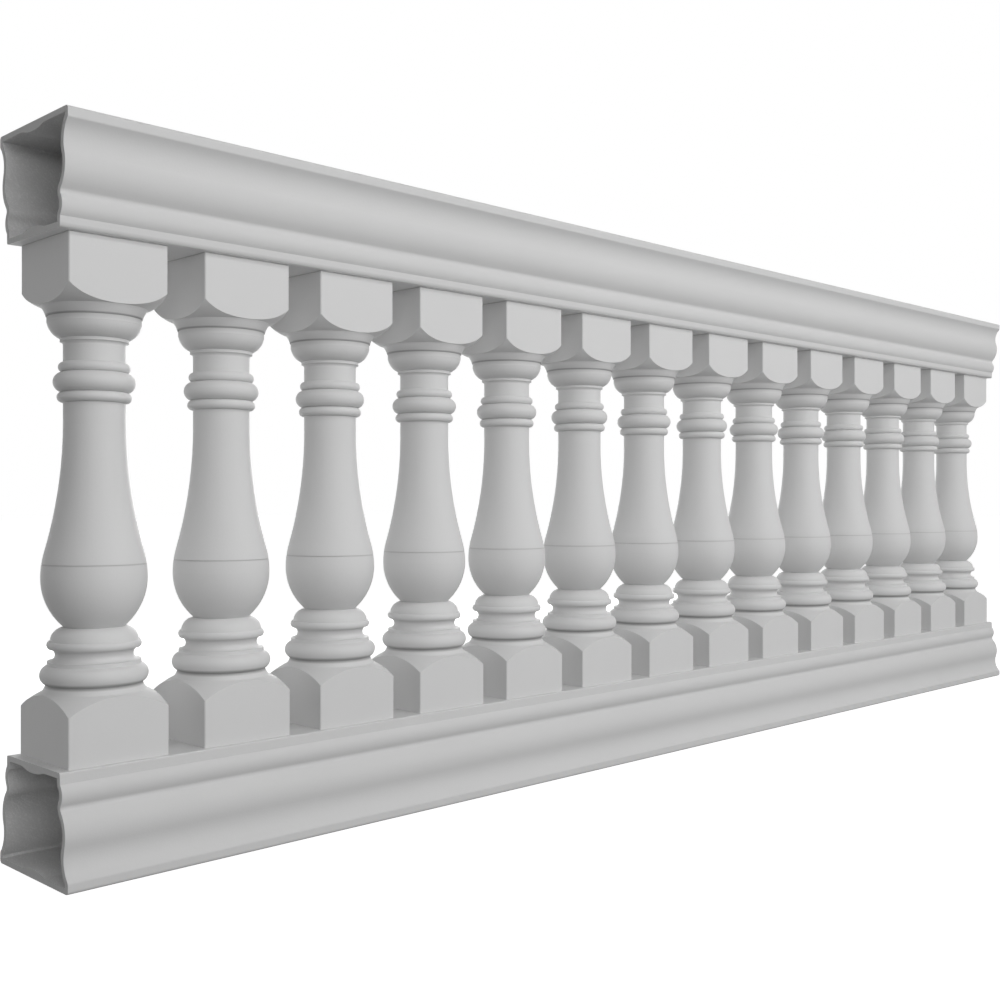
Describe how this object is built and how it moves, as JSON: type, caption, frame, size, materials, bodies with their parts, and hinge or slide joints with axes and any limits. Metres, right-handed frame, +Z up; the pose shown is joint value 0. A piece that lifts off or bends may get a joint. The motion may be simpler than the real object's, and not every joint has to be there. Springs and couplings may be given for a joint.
{
  "type": "fiberglass balustrade",
  "caption": "Straight balustrade panel of turned hollow-cast balusters with square plinths between moulded hollow top and bottom rails.",
  "frame": {"origin": "floor level, midway along and across the underside of the bottom rail", "axes": "+X along the rails, +Y to the back across the rails, +Z up"},
  "size_m": [2.54, 0.1864, 0.9144],
  "materials": {
    "rail_gelcoat": "satin light grey gelcoat",
    "baluster_gelcoat": "satin light grey gelcoat"
  },
  "bodies": {
    "root": {"bottom_rail": "rail_gelcoat", "top_rail": "rail_gelcoat", "baluster_01_lower": "baluster_gelcoat", "baluster_02_lower": "baluster_gelcoat", "baluster_03_lower": "baluster_gelcoat", "baluster_04_lower": "baluster_gelcoat", "baluster_05_lower": "baluster_gelcoat", "baluster_06_lower": "baluster_gelcoat", "baluster_07_lower": "baluster_gelcoat", "baluster_08_lower": "baluster_gelcoat", "baluster_09_lower": "baluster_gelcoat", "baluster_10_lower": "baluster_gelcoat", "baluster_11_lower": "baluster_gelcoat", "baluster_12_lower": "baluster_gelcoat", "baluster_13_lower": "baluster_gelcoat", "baluster_14_lower": "baluster_gelcoat", "baluster_01_upper": "baluster_gelcoat", "baluster_02_upper": "baluster_gelcoat", "baluster_03_upper": "baluster_gelcoat", "baluster_04_upper": "baluster_gelcoat", "baluster_05_upper": "baluster_gelcoat", "baluster_06_upper": "baluster_gelcoat", "baluster_07_upper": "baluster_gelcoat", "baluster_08_upper": "baluster_gelcoat", "baluster_09_upper": "baluster_gelcoat", "baluster_10_upper": "baluster_gelcoat", "baluster_11_upper": "baluster_gelcoat", "baluster_12_upper": "baluster_gelcoat", "baluster_13_upper": "baluster_gelcoat", "baluster_14_upper": "baluster_gelcoat"}
  },
  "joints": []
}
